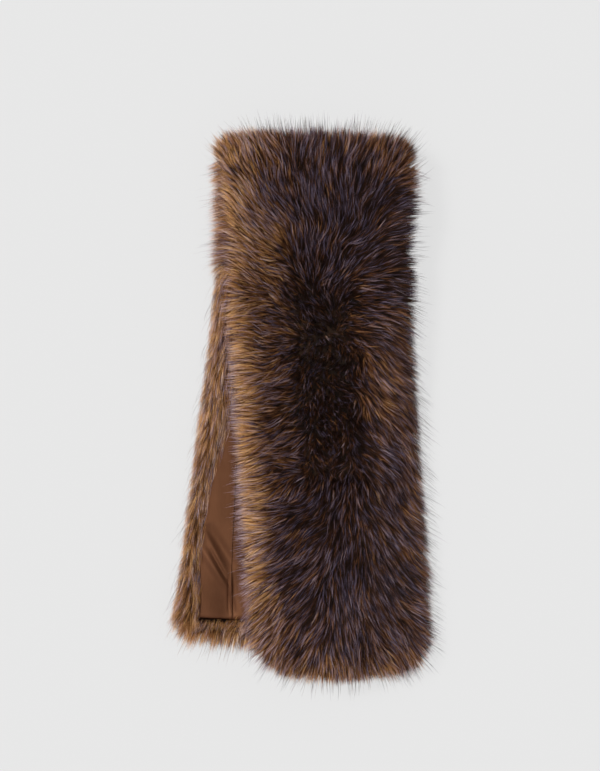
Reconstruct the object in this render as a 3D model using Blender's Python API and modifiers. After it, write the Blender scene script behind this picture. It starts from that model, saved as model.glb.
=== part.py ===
"""Fur collar wrap: one long strip of deep-pile fabric, lined, folded across near its middle and laid flat.

Metres, +Z up. The wrap rests on the plane z = 0. Its back stretch lies pile down with the lining up, the fold
is at +Y, and the front stretch lies on it pile up, turned a few degrees so that the lining shows beside it.
Run with blender --background --python part.py, or from the text editor.
"""

import math
from collections import namedtuple

import bmesh
import bpy
import numpy as np

# Cloth, measured over the pile
GAP = 0.0003  # between pieces that touch
STRETCH_THICKNESS = 0.026  # backing, pile and lining of one stretch where it is folded
FRONT_THICKNESS = 0.0265  # the front stretch where it lies free
RIM_HEIGHT = 0.011  # from the lining side to the widest line of the edge
PILE_RIM = 0.026  # how far the pile side curves in from the edge
LINED_RIM = 0.010  # how far the lining side curves in from the edge
LINING_WALL = 0.001

# Fold
FOLD_CENTRE_Y = 0.2497
FOLD_TILT = math.radians(-1.8)  # its line falls a little towards +X
FOLD_BORE = 0.0015  # radius left inside the bend
FOLD_TAPER = 0.006  # the fold's crown is this much narrower at each end
FOLD_RUN = 0.060  # the stretches take their own thickness within this of the fold

# Back stretch: the fur border stands above the lining like the rim of a tray
TRAY_FLOOR = 0.020
BORDER_TOP = 0.027
BORDER_CREST = 0.0130  # from the edge to the border's crest
BORDER_WIDTH = 0.0245  # from the edge to the flat of the tray
LINING_INSET = 0.0265  # from the edge to the lining
TRAY_CORNER = 0.024
SEAM_GAP = 0.0004

# Front stretch: what it lies on, and how it sinks to the surface beside the back stretch
FRONT_BED = TRAY_FLOOR + GAP + LINING_WALL + GAP
BED_RISE = 0.0085  # the bed climbs this much over the back's border
BED_SLOPE = (0.044, 0.016)  # from the back's edge, where that climb starts and ends
FRONT_TOP_DROP = 0.003  # the front's top, below the fold's
DROOP = (-0.004, 0.044)  # from the back's edge outward, where the front starts and stops sinking

# Seam of the lining, measured from the lining's left edge, and the folds beside it
Seam = namedtuple("Seam", "along offset")
LINING_SEAM = (
    Seam(along=0.060, offset=0.014),
    Seam(along=0.330, offset=0.018),
    Seam(along=0.420, offset=0.026),
    Seam(along=0.480, offset=0.033),
)
Crease = namedtuple("Crease", "start end half_width height")
LINING_CREASES = (
    Crease(start=(-0.0965, -0.1225), end=(-0.0745, -0.1800), half_width=0.007, height=0.0016),
    Crease(start=(-0.0660, -0.1500), end=(-0.0670, -0.2060), half_width=0.004, height=0.0012),
)

# Sections across each stretch, from the fold's axis to its end
Section = namedtuple("Section", "along middle half_width")
Stretch = namedtuple("Stretch", "sections turn left_corner right_corner bow")
FRONT = Stretch(
    sections=(
        Section(along=0.000, middle=0.0120, half_width=0.1025),
        Section(along=0.047, middle=0.0137, half_width=0.1000),
        Section(along=0.115, middle=0.0172, half_width=0.0950),
        Section(along=0.177, middle=0.0200, half_width=0.0920),
        Section(along=0.247, middle=0.0245, half_width=0.0910),
        Section(along=0.347, middle=0.0315, half_width=0.0915),
        Section(along=0.467, middle=0.0380, half_width=0.0921),
        Section(along=0.5242, middle=0.0400, half_width=0.0915),
    ),
    turn=math.radians(1.2),
    left_corner=0.044,
    right_corner=0.036,
    bow=0.004,
)
BACK = Stretch(
    sections=(
        Section(along=0.000, middle=0.0120, half_width=0.1025),
        Section(along=0.115, middle=-0.0010, half_width=0.0895),
        Section(along=0.177, middle=-0.0070, half_width=0.0880),
        Section(along=0.267, middle=-0.0175, half_width=0.0890),
        Section(along=0.347, middle=-0.0260, half_width=0.0900),
        Section(along=0.437, middle=-0.0365, half_width=0.0915),
        Section(along=0.494, middle=-0.0425, half_width=0.0913),
    ),
    turn=math.radians(-3.5),
    left_corner=0.030,
    right_corner=0.034,
    bow=0.001,
)

# Grids: distances from an edge of the rows and columns that follow its rounding, and how many lie between
FRONT_STEPS = (0.0, 0.0014, 0.0050, 0.0105, 0.0175, 0.0260)
BACK_STEPS = (0.0, 0.0014, 0.0050, 0.0095, 0.0130, 0.0165, 0.0205, BORDER_WIDTH, LINING_INSET)
FRONT_ROWS = 34
BACK_ROWS = 24
INNER_COLUMNS = 7  # of the fur, from one rounding to the other
FOLD_ROWS = 12
SIDE_COLUMNS = 3
MAIN_COLUMNS = 8

COLLECTION = "fur_collar_wrap"
FUR_COLOUR = (0.058, 0.032, 0.021, 1.0)
LINING_COLOUR = (0.150, 0.062, 0.030, 1.0)


def clear_scene():
    for obj in list(bpy.data.objects):
        bpy.data.objects.remove(obj, do_unlink=True)


def make_material(name, colour, roughness):
    material = bpy.data.materials.new(name)
    material.use_nodes = True
    shader = material.node_tree.nodes["Principled BSDF"]
    shader.inputs["Base Color"].default_value = colour
    shader.inputs["Roughness"].default_value = roughness
    shader.inputs["Metallic"].default_value = 0.0
    return material


def smoothstep(low, high, value):
    """0 below low, 1 above high, and a smooth rise between."""
    part = np.clip((value - low) / (high - low), 0.0, 1.0)
    return part * part * (3.0 - 2.0 * part)


def through(value, places, levels):
    """Smooth curve through the points (places, levels): cubics whose slopes come from the neighbours."""
    places = np.asarray(places, float)
    levels = np.asarray(levels, float)
    slopes = np.gradient(levels, places)
    value = np.clip(value, places[0], places[-1])
    low = np.clip(np.searchsorted(places, value) - 1, 0, len(places) - 2)
    span = places[low + 1] - places[low]
    part = (value - places[low]) / span
    rise = part * part * (3.0 - 2.0 * part)
    start_bend = part * (1.0 - part) ** 2 * span * slopes[low]
    end_bend = part * part * (1.0 - part) * span * slopes[low + 1]
    return levels[low] * (1.0 - rise) + levels[low + 1] * rise + start_bend - end_bend


def middle_of(stretch, along):
    """Place across and half width of a stretch at a distance from the fold's axis."""
    places = [row.along for row in stretch.sections]
    middle = through(along, places, [row.middle for row in stretch.sections])
    half_width = through(along, places, [row.half_width for row in stretch.sections])
    return middle, half_width


def length_of(stretch):
    return stretch.sections[-1].along


def corner_cut(from_end, radius):
    """How much a round corner takes off the half width at a distance from the end."""
    part = np.clip(from_end / radius, 0.0, 1.0)
    return radius * (1.0 - np.sqrt(part * (2.0 - part)))


def round_in(distance, reach):
    """Quarter circle: 0 at an edge, 1 from reach inwards."""
    part = np.clip(distance / reach, 0.0, 1.0)
    return np.sqrt(part * (2.0 - part))


def stretch_plan(stretch, along, across):
    """Plan of a stretch's points, their distance to the nearer long edge, and to the end.

    along is measured from the fold's axis, and across runs from -1 at the left edge to 1 at the right.
    The rows turn from the fold's line to the stretch's own, and bow out at its end.
    """
    middle, half_width = middle_of(stretch, along)
    from_end = length_of(stretch) - along
    left = half_width - corner_cut(from_end, stretch.left_corner)
    right = half_width - corner_cut(from_end, stretch.right_corner)
    side = np.where(across < 0.0, left, right)
    shift = across * side
    turn = FOLD_TILT + (stretch.turn - FOLD_TILT) * smoothstep(0.0, 0.2, along)
    bow = stretch.bow * (1.0 - across**2) * smoothstep(-0.12, 0.0, -from_end)
    x = middle + shift * np.cos(turn)
    y = FOLD_CENTRE_Y - along + shift * np.sin(turn) - bow
    return x, y, (1.0 - np.abs(across)) * side, from_end


def outside_back(x, y):
    """Distance outside the back stretch's outline, negative within it: a box with round corners."""
    middle, half_width = middle_of(BACK, FOLD_CENTRE_Y - y)
    end_y = FOLD_CENTRE_Y - length_of(BACK) + (x - BACK.sections[-1].middle) * math.tan(BACK.turn)
    past_side = np.abs(x - middle) - half_width + TRAY_CORNER
    past_end = end_y - y + TRAY_CORNER
    outside = np.hypot(np.maximum(past_side, 0.0), np.maximum(past_end, 0.0))
    return outside + np.minimum(np.maximum(past_side, past_end), 0.0) - TRAY_CORNER


def from_fold(y):
    """0 at the fold and 1 where the stretches have their own thickness."""
    return smoothstep(0.0, FOLD_RUN, FOLD_CENTRE_Y - y)


def blend(near_fold, beyond, y):
    return near_fold + (beyond - near_fold) * from_fold(y)


def back_top(x, y):
    """Height of the back stretch's lining side: a tray with a raised border."""
    border = smoothstep(-BORDER_WIDTH, -BORDER_CREST, outside_back(x, y))
    tray = TRAY_FLOOR + (BORDER_TOP - TRAY_FLOOR) * border
    return blend(STRETCH_THICKNESS - FOLD_BORE, tray, y)


def front_bed(x, y):
    """Height of the front stretch's lining side: over the back stretch, and down to the surface beside it."""
    outside = outside_back(x, y)
    bed = FRONT_BED + BED_RISE * smoothstep(-BED_SLOPE[0], -BED_SLOPE[1], outside)
    bed = bed * (1.0 - smoothstep(DROOP[0], DROOP[1], outside))
    return blend(STRETCH_THICKNESS + FOLD_BORE, bed, y)


def front_top(x, y):
    """Height of the front stretch's pile."""
    sunk = smoothstep(DROOP[0], DROOP[1], outside_back(x, y))
    lying = 2.0 * STRETCH_THICKNESS - FRONT_TOP_DROP
    top = lying + (FRONT_THICKNESS - lying) * sunk
    return blend(2.0 * STRETCH_THICKNESS, top, y)


def rows_along(stretch, steps, rows):
    """Distances from the fold: even as far as the end's rounding, then the steps up to the end."""
    length = length_of(stretch)
    even = np.linspace(0.0, length - steps[-1], rows + 1)
    return np.concatenate([even, length - np.array(steps[-2::-1])])[:, None]


def columns_across(half_width, steps):
    """-1 at the left edge to 1 at the right, with a column at each step from both edges."""
    near = np.array(steps)[None, :] / half_width - 1.0
    part = np.linspace(0.0, 1.0, INNER_COLUMNS + 1)[None, 1:-1]
    inner = near[:, -1:] * (1.0 - 2.0 * part)
    return np.concatenate([near, inner, -near[:, ::-1]], axis=1)


def stretch_grid(stretch, steps, rows):
    along = rows_along(stretch, steps, rows)
    across = columns_across(middle_of(stretch, along)[1], steps)
    return along + 0.0 * across, across


def loft_mesh(name, upper, lower, open_end):
    """Closed mesh between two grids of points whose side columns are shared, and whose last row is too
    unless open_end is set. The other ends are closed by one flat strip."""
    mesh = bmesh.new()
    rows, columns = upper.shape[:2]
    top = [[mesh.verts.new(point) for point in row] for row in upper.tolist()]
    bottom = [[None] * columns for _ in range(rows)]
    for row in range(rows):
        for column in range(columns):
            shared = column in (0, columns - 1) or (row == rows - 1 and not open_end)
            if shared:
                bottom[row][column] = top[row][column]
            else:
                bottom[row][column] = mesh.verts.new(lower[row, column].tolist())
    for row in range(rows - 1):
        for column in range(columns - 1):
            for sheet in (top, bottom):
                corners = [sheet[row][column], sheet[row][column + 1]]
                corners += [sheet[row + 1][column + 1], sheet[row + 1][column]]
                mesh.faces.new(corners)
    for row in (0, rows - 1) if open_end else (0,):
        mesh.faces.new(top[row] + bottom[row][-2:0:-1])
    bmesh.ops.recalc_face_normals(mesh, faces=mesh.faces)
    bmesh.ops.triangulate(mesh, faces=[face for face in mesh.faces if len(face.verts) > 4])
    data = bpy.data.meshes.new(name)
    mesh.to_mesh(data)
    mesh.free()
    return data


def add_object(name, data, material, collection):
    data.materials.append(material)
    data.shade_smooth()
    obj = bpy.data.objects.new(name, data)
    collection.objects.link(obj)
    return obj


def add_front(fur, collection):
    along, across = stretch_grid(FRONT, FRONT_STEPS, FRONT_ROWS)
    x, y, to_side, to_end = stretch_plan(FRONT, along, across)
    bed = front_bed(x, y)
    at_fold = STRETCH_THICKNESS - FOLD_BORE
    rim = bed + blend(at_fold / 2.0, RIM_HEIGHT, y)
    pile = round_in(to_side, PILE_RIM) * round_in(to_end, PILE_RIM)
    lined = round_in(to_side, LINED_RIM) * round_in(to_end, LINED_RIM)
    upper = np.stack([x, y, rim + (front_top(x, y) - rim) * pile], axis=-1)
    lower = np.stack([x, y, rim + (bed - rim) * lined], axis=-1)
    add_object("fur_front", loft_mesh("fur_front", upper, lower, False), fur, collection)


def add_back(fur, collection):
    along, across = stretch_grid(BACK, BACK_STEPS, BACK_ROWS)
    x, y, to_side, to_end = stretch_plan(BACK, along, across)
    at_fold = STRETCH_THICKNESS - FOLD_BORE
    rim = blend(at_fold / 2.0, RIM_HEIGHT, y)
    inner = round_in(to_side, BORDER_CREST) * round_in(to_end, BORDER_CREST)
    under = round_in(to_side, LINED_RIM) * round_in(to_end, LINED_RIM)
    upper = np.stack([x, y, rim + (back_top(x, y) - rim) * inner], axis=-1)
    lower = np.stack([x, y, rim * (1.0 - under)], axis=-1)
    add_object("fur_back", loft_mesh("fur_back", upper, lower, False), fur, collection)


def add_fold(fur, collection):
    """The strip carried round half a turn, from the back stretch's section to the front's."""
    turn = np.linspace(0.0, math.pi, FOLD_ROWS + 1)[:, None]
    middle, half_width = middle_of(FRONT, 0.0 * turn)
    across = columns_across(half_width, FRONT_STEPS)
    half_width = half_width - FOLD_TAPER * np.sin(turn) ** 2
    shift = across * half_width
    to_side = (1.0 - np.abs(across)) * half_width
    rim = (STRETCH_THICKNESS + FOLD_BORE) / 2.0
    # The back's lining side curves in over its border's crest and the front's over its lined rim.
    pile_reach = np.cos(turn / 2.0) ** 2 * (LINED_RIM - PILE_RIM) + PILE_RIM
    lined_reach = np.cos(turn / 2.0) ** 2 * (BORDER_CREST - LINED_RIM) + LINED_RIM
    outer = rim + (STRETCH_THICKNESS - rim) * round_in(to_side, pile_reach)
    inner = rim + (FOLD_BORE - rim) * round_in(to_side, lined_reach)

    def at(radius):
        x = middle + shift * math.cos(FOLD_TILT) + 0.0 * turn
        y = FOLD_CENTRE_Y + GAP + shift * math.sin(FOLD_TILT) + radius * np.sin(turn)
        return np.stack([x, y, STRETCH_THICKNESS - radius * np.cos(turn)], axis=-1)

    add_object("fur_fold", loft_mesh("fur_fold", at(outer), at(inner), True), fur, collection)


def crease_height(x, y):
    """Soft ridges and troughs: each is a bell across its line that fades towards the line's ends."""
    height = np.zeros_like(x)
    for crease in LINING_CREASES:
        start = np.array(crease.start)
        line = np.array(crease.end) - start
        length = float(np.hypot(line[0], line[1]))
        run = ((x - start[0]) * line[0] + (y - start[1]) * line[1]) / length
        off = ((x - start[0]) * line[1] - (y - start[1]) * line[0]) / length
        fade = np.sin(np.clip(run / length, 0.0, 1.0) * math.pi)
        height = height + crease.height * fade * np.exp(-((off / crease.half_width) ** 2))
    return height


def lining_points(offsets):
    """Grid of a lining panel on the tray, on the back stretch's own rows. offsets gives the distances of
    each row's points from the lining's left edge."""
    rows = rows_along(BACK, BACK_STEPS, BACK_ROWS)
    inset = length_of(BACK) - rows
    rows = rows[(rows > FOLD_RUN) & (inset > LINING_INSET - GAP)][:, None]
    middle, half_width = middle_of(BACK, rows)
    inside = half_width - LINING_INSET
    offset = offsets(rows, inside)
    turn = FOLD_TILT + (BACK.turn - FOLD_TILT) * smoothstep(0.0, 0.2, rows)
    shift = offset - inside
    x = middle + shift * np.cos(turn)
    y = FOLD_CENTRE_Y - rows + shift * np.sin(turn)
    z = back_top(x, y) + GAP + crease_height(x, y)
    return np.stack([x, y, z], axis=-1)


def spread(start, end, columns):
    """Even steps from start to end in each row."""
    part = np.linspace(0.0, 1.0, columns + 1)[None, :]
    return start * (1.0 - part) + end * part


def seam_offset(rows):
    return through(rows, [row.along for row in LINING_SEAM], [row.offset for row in LINING_SEAM])


def side_offsets(rows, _inside):
    """From the left edge to the seam."""
    return spread(0.0 * rows, seam_offset(rows) - SEAM_GAP / 2.0, SIDE_COLUMNS)


def main_offsets(rows, inside):
    """From the seam to the right edge."""
    return spread(seam_offset(rows) + SEAM_GAP / 2.0, 2.0 * inside, MAIN_COLUMNS)


def add_lining_panel(name, offsets, lining, collection):
    """An open sheet on the tray with its wall raised from it."""
    points = lining_points(offsets)
    rows, columns = points.shape[0], points.shape[1] - 1
    faces = []
    for row in range(rows - 1):
        first = row * (columns + 1)
        for corner in range(first, first + columns):
            faces.append((corner, corner + columns + 1, corner + columns + 2, corner + 1))
    data = bpy.data.meshes.new(name)
    data.from_pydata(points.reshape(-1, 3).tolist(), [], faces)
    obj = add_object(name, data, lining, collection)
    wall = obj.modifiers.new("wall", "SOLIDIFY")
    wall.thickness = LINING_WALL
    wall.offset = 1.0
    return obj


def add_lining(lining, collection):
    """The side strip along the left border and the main panel, which meet at the lengthwise seam."""
    add_lining_panel("lining_side", side_offsets, lining, collection)
    add_lining_panel("lining_main", main_offsets, lining, collection)


def main():
    clear_scene()
    collection = bpy.data.collections.new(COLLECTION)
    bpy.context.scene.collection.children.link(collection)
    fur = make_material("brown_fur", FUR_COLOUR, 0.75)
    lining = make_material("satin_lining", LINING_COLOUR, 0.45)
    add_back(fur, collection)
    add_fold(fur, collection)
    add_front(fur, collection)
    add_lining(lining, collection)


main()
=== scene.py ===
# %% [markdown]
# # A folded fur collar wrap
#
# The real object is one long strip of deep-pile fur cloth, lined with satin. It is folded across near its
# middle and lies flat: the back stretch pile down, the fold at +Y, the front stretch on top, pile up.
# A maker would say that it has three things to get right. The cloth body gives the outline and the thickness.
# The pile is made of many thousands of single hairs that lie in clear directions. The lining is a
# thin satin that puckers at its seam. Each gets its own cells below.

import math
from collections import namedtuple

import bpy
import numpy as np
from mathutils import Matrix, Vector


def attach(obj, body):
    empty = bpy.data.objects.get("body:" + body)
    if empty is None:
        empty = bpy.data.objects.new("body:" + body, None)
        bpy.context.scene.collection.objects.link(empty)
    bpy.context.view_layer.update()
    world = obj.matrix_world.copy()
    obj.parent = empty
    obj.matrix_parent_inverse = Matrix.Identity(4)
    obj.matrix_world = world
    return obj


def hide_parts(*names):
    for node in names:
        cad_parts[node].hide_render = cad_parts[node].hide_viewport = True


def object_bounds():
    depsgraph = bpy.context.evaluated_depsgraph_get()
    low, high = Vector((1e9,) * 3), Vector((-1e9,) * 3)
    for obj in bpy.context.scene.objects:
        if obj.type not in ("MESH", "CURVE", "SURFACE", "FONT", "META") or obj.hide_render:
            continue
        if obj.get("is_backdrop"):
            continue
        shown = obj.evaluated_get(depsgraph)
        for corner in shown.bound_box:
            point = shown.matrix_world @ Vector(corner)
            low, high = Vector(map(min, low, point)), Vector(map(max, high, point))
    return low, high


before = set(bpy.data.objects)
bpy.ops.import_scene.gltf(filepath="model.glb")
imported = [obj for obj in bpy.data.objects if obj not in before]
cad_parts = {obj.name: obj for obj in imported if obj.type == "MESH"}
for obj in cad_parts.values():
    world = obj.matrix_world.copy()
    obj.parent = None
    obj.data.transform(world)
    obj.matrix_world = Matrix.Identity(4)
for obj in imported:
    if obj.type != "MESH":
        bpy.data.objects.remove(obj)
CAD_BOX = [list(corner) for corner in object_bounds()]
print("nodes", sorted(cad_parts))
print("CAD box", np.round(CAD_BOX, 4).tolist())

# %% [markdown]
# ## The camera comes first
#
# The wrap is seen from straight above, so the camera looks down -Z with +Y up in the picture. A long lens far
# away keeps the thick pile from leaning outwards at the picture's edges, as it does with a wide lens.

# %% Camera
FIELD_HEIGHT = 0.771  # what the picture covers along Y, at the height of the pile's widest line
AIM = (-0.0025, 0.0190)
AIM_HEIGHT = 0.024
LENS = 0.150
SENSOR = 0.036


def make_camera():
    """Distance = lens / sensor height x field height, from similar triangles."""
    data = bpy.data.cameras.new("camera")
    data.sensor_fit = "VERTICAL"
    data.lens = LENS * 1000
    data.sensor_width = data.sensor_height = SENSOR * 1000
    camera = bpy.data.objects.new("camera", data)
    camera.location = (*AIM, AIM_HEIGHT + FIELD_HEIGHT * LENS / SENSOR)
    camera.rotation_euler = (0.0, 0.0, 0.0)
    data.clip_end = 50.0
    bpy.context.scene.collection.objects.link(camera)
    bpy.context.scene.camera = camera
    return camera


print("camera height", round(make_camera().location.z, 3))

# %% [markdown]
# ## Two curves that everything uses
#
# A soft object has no straight lines and no corners, so nearly every size here changes along a smooth curve.
# `smoothstep` eases from 0 to 1. `through` draws a smooth line through a few named sizes, which is
# how a pattern cutter's curve ruler works: a few true measures, and a fair line between them.


# %% Curves
def smoothstep(low, high, value):
    """p = (value - low) / (high - low) kept within 0 and 1, then p p (3 - 2 p)."""
    part = np.clip((value - low) / (high - low), 0.0, 1.0)
    return part * part * (3.0 - 2.0 * part)


def through(value, places, levels):
    """Cubic Hermite curve through (places, levels), whose slopes are the neighbours' mean slopes."""
    places, levels = np.asarray(places, float), np.asarray(levels, float)
    slopes = np.gradient(levels, places)
    value = np.clip(value, places[0], places[-1])
    low = np.clip(np.searchsorted(places, value) - 1, 0, len(places) - 2)
    span = places[low + 1] - places[low]
    part = (value - places[low]) / span
    rise = part * part * (3.0 - 2.0 * part)
    bends = part * (1.0 - part) * span * ((1.0 - part) * slopes[low] - part * slopes[low + 1])
    return levels[low] * (1.0 - rise) + levels[low + 1] * rise + bends


def round_in(distance, reach):
    """A quarter circle: sqrt(p (2 - p)) for p = distance / reach, so 0 at the edge and 1 from reach on."""
    part = np.clip(distance / reach, 0.0, 1.0)
    return np.sqrt(part * (2.0 - part))


def unit(vectors):
    return vectors / np.maximum(np.linalg.norm(vectors, axis=-1, keepdims=True), 1e-12)


# %% [markdown]
# ## The wrap's sizes
#
# These follow the construction's sizes, over the pile: where the middle of each stretch runs, how wide and
# how thick it is, and how the front stretch sinks beside the back one. Each stretch is measured from the
# fold.

# %% Sizes of the strip
Section = namedtuple("Section", "along middle half_width")
Stretch = namedtuple("Stretch", "sections turn left_corner right_corner bow")
FRONT = Stretch(
    sections=(
        Section(0.000, 0.0120, 0.1025),
        Section(0.047, 0.0137, 0.1000),
        Section(0.085, 0.0139, 0.0958),
        Section(0.115, 0.0168, 0.0946),
        Section(0.177, 0.0200, 0.0920),
        Section(0.247, 0.0255, 0.0920),
        Section(0.347, 0.0322, 0.0922),
        Section(0.467, 0.0380, 0.0921),
        Section(0.5242, 0.0400, 0.0915),
    ),
    turn=math.radians(1.2),
    left_corner=0.053,
    right_corner=0.042,
    bow=0.004,
)
BACK = Stretch(
    sections=(
        Section(0.000, 0.0120, 0.1025),
        Section(0.115, -0.0010, 0.0895),
        Section(0.177, -0.0070, 0.0880),
        Section(0.267, -0.0175, 0.0890),
        Section(0.347, -0.0260, 0.0900),
        Section(0.437, -0.0365, 0.0915),
        Section(0.494, -0.0425, 0.0913),
    ),
    turn=math.radians(-3.5),
    left_corner=0.026,
    right_corner=0.034,
    bow=0.001,
)
THICK = 0.026  # one stretch, over the pile, at the fold
FRONT_THICK = 0.0265
FOLD_Y = 0.2497
FOLD_TILT = math.radians(-1.8)
FOLD_BORE = 0.0015
FOLD_RUN = 0.060
TRAY_FLOOR = 0.020
BORDER_TOP = 0.027
TRAY_CORNER = 0.024
FRONT_BED = 0.0216  # what the front stretch lies on, over the tray
BED_RISE = 0.0055  # and how much higher it lies on the border
DROOP = (-0.004, 0.044)  # distances outside the back stretch between which the front one sinks
NOTCH_RISE, NOTCH_FALL = (0.0, 0.04), (0.14, 0.10)
TURN_RUN = 0.2  # from the fold to where a stretch has its own turn
BOW_RUN = 0.12

print("from the fold's axis: back", BACK.sections[-1].along, "m, front", FRONT.sections[-1].along, "m")


# %% Plan of a stretch
def middle_of(stretch, along):
    """Where the middle of a stretch runs, and its half width."""
    places, middles, half_widths = np.array(stretch.sections).T
    return through(along, places, middles), through(along, places, half_widths)


def length_of(stretch):
    return stretch.sections[-1].along


def corner_cut(from_end, radius):
    """What a round corner takes off the half width: radius (1 - sqrt(p (2 - p))), p = from_end / radius."""
    return radius * (1.0 - round_in(from_end, radius))


def turn_at(stretch, along):
    """The rows' turn: the fold's own tilt, eased to the stretch's within TURN_RUN."""
    return FOLD_TILT + (stretch.turn - FOLD_TILT) * smoothstep(0.0, TURN_RUN, along)


def stretch_plan(stretch, along, across, inset=0.0, end_inset=0.0, notch=0.0):
    """x, y, distance to the side and distance to the end of points of a stretch.

    along runs from the fold and across from -1 to 1. A point is middle + across x half width, on rows that
    turn from the fold's line to the stretch's own and bow out at the end. inset and end_inset draw the
    outline in, as the cloth lies under the tips of its pile, and notch draws its left side in near the fold.
    """
    middle, half_width = middle_of(stretch, along)
    from_end = np.maximum(length_of(stretch) - end_inset - along, 0.0)
    drawn_in = notch * smoothstep(*NOTCH_RISE, along) * smoothstep(*NOTCH_FALL, along)
    left = half_width - inset - drawn_in - corner_cut(from_end, stretch.left_corner - inset)
    right = half_width - inset - corner_cut(from_end, stretch.right_corner - inset)
    side = np.where(across < 0.0, left, right)
    shift = across * side
    turn = turn_at(stretch, along)
    bow = stretch.bow * (1.0 - across**2) * smoothstep(-BOW_RUN, 0.0, -from_end)
    x = middle + shift * np.cos(turn)
    y = FOLD_Y - along + shift * np.sin(turn) - bow
    return x, y, (1.0 - np.abs(across)) * side, from_end


def outside_back(x, y):
    """Distance outside the back stretch's outline, negative within: a box with round corners."""
    middle, half_width = middle_of(BACK, FOLD_Y - y)
    end_y = FOLD_Y - length_of(BACK) + (x - BACK.sections[-1].middle) * math.tan(BACK.turn)
    past_side = np.abs(x - middle) - half_width + TRAY_CORNER
    past_end = end_y - y + TRAY_CORNER
    outside = np.hypot(np.maximum(past_side, 0.0), np.maximum(past_end, 0.0))
    return outside + np.minimum(np.maximum(past_side, past_end), 0.0) - TRAY_CORNER


def blend(near_fold, beyond, y):
    """near_fold at the fold, eased to beyond within FOLD_RUN of it."""
    return near_fold + (beyond - near_fold) * smoothstep(0.0, FOLD_RUN, FOLD_Y - y)


print("end of the back stretch at y", round(FOLD_Y - length_of(BACK), 4))

# %% [markdown]
# ## The cloth body
#
# Under the hairs lies the fur cloth itself: a backing with dense, short underfur, which gives the pile its
# body and hides the backing. It could be a box with rounded edges, but the strip bends over and sinks
# beside itself. So it is one closed surface of two sheets, the pile side and the lined side, each a function
# of (along the strip, across it). The rows run from the front's end over the fold to the back's end, and
# the two sheets share their outer columns and rows, which closes the rim.

# %% Depths of the pile, and the lining's edge
PILE_DEPTH = 0.0095  # from the underfur's surface to the reach of the pile
RIM_DEPTH = 0.0100  # the same at the sides, and at the ends
BACK_RIM_DEPTH = 0.0072
FRONT_END_DEPTH = 0.0112
BACK_END_DEPTH = 0.0115
FRONT_NOTCH = 0.0070
BACK_NOTCH = 0.0040
PILE_RIM = 0.019  # how far in the rim's rounding reaches
LINED_RIM = 0.008
RIM_LEVEL = 0.45  # how high the rim runs between the lined side and the pile side
LINING_EDGE = (  # along the back stretch, and how far the lining's left edge lies inside the outline there
    (0.060, 0.0325),
    (0.200, 0.0325),
    (0.255, 0.0300),
    (0.290, 0.0225),
    (0.325, 0.0180),
    (0.372, 0.0160),
    (0.410, 0.0180),
    (0.445, 0.0225),
    (0.494, 0.0235),
)
LINING_EDGE_RIGHT = 0.0262
SLACK_AT, SLACK_REACH, SLACK_DEPTH = (-0.0740, -0.2000), (0.0155, 0.0270), 0.0085


def lining_edge(along):
    return through(along, *np.array(LINING_EDGE).T)


def beyond_lining(x, y):
    """Distance past the lining's edge towards the outline, negative on the lining."""
    middle, _ = middle_of(BACK, FOLD_Y - y)
    left = smoothstep(0.0, -0.04, x - middle)
    return outside_back(x, y) + LINING_EDGE_RIGHT + (lining_edge(FOLD_Y - y) - LINING_EDGE_RIGHT) * left


def slack_hollow(x, y):
    """A soft hollow low on the left of the tray, where the cloth is slack: depth x exp(-(off / reach)^2)."""
    off_x, off_y = (x - SLACK_AT[0]) / SLACK_REACH[0], (y - SLACK_AT[1]) / SLACK_REACH[1]
    return SLACK_DEPTH * np.exp(-(off_x**2) - off_y**2)


# %% Pile side and lined side of each stretch
FRONT_SLUMP = 0.003
TRAY_SINK = 0.0050  # the cloth under the lining lies below the tray's floor
BORDER_RISE = 0.0068
BACK_LOW = 0.004


def rounded(rim, level, reach, to_side, to_end):
    """rim + (level - rim) x the quarter circles of both distances: rim at the edge, and level inside."""
    return rim + (level - rim) * round_in(to_side, reach) * round_in(to_end, reach)


def bed_height(x, y):
    """What the front stretch lies on: the tray, eased down to the surface beside the back stretch."""
    outside = outside_back(x, y)
    bed = (FRONT_BED + BED_RISE * smoothstep(-0.044, -0.016, outside)) * (1.0 - smoothstep(*DROOP, outside))
    return blend(THICK + FOLD_BORE, bed + 0.001, y)


def front_sheets(along, across):
    x, y, to_side, to_end = stretch_plan(FRONT, along, across, RIM_DEPTH, FRONT_END_DEPTH, FRONT_NOTCH)
    sunk = smoothstep(*DROOP, outside_back(x, y))
    lying = 2.0 * THICK - FRONT_SLUMP
    top = blend(2.0 * THICK, lying + (FRONT_THICK - lying) * sunk, y) - PILE_DEPTH
    bed = bed_height(x, y)
    rim = bed + RIM_LEVEL * (top - bed)
    pile = rounded(rim, top, PILE_RIM, to_side, to_end)
    lined = rounded(rim, bed, LINED_RIM, to_side, to_end)
    return np.stack([x, y, pile], -1), np.stack([x, y, lined], -1)


def back_sheets(along, across):
    inset = RIM_DEPTH + (BACK_RIM_DEPTH - RIM_DEPTH) * smoothstep(0.0, 0.06, along)
    x, y, to_side, to_end = stretch_plan(BACK, along, across, inset, BACK_END_DEPTH, BACK_NOTCH)
    border = smoothstep(-0.0015, 0.0065, beyond_lining(x, y))
    top = blend(THICK - FOLD_BORE, TRAY_FLOOR - TRAY_SINK + BORDER_RISE * border, y) - slack_hollow(x, y)
    rim = RIM_LEVEL * top + 0.5 * BACK_LOW
    low = blend(PILE_DEPTH, BACK_LOW, y)
    pile = rounded(rim, low, LINED_RIM, to_side, to_end)
    lined = rounded(rim, top, LINED_RIM, to_side, to_end)
    return np.stack([x, y, pile], -1), np.stack([x, y, lined], -1)


# %% The fold
FOLD_PINCH = 0.009  # how much narrower the fold is at its outermost line, on each side
FOLD_PINCH_LEFT = 0.008  # and the left side again
FOLD_PRESS = 0.003


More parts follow.
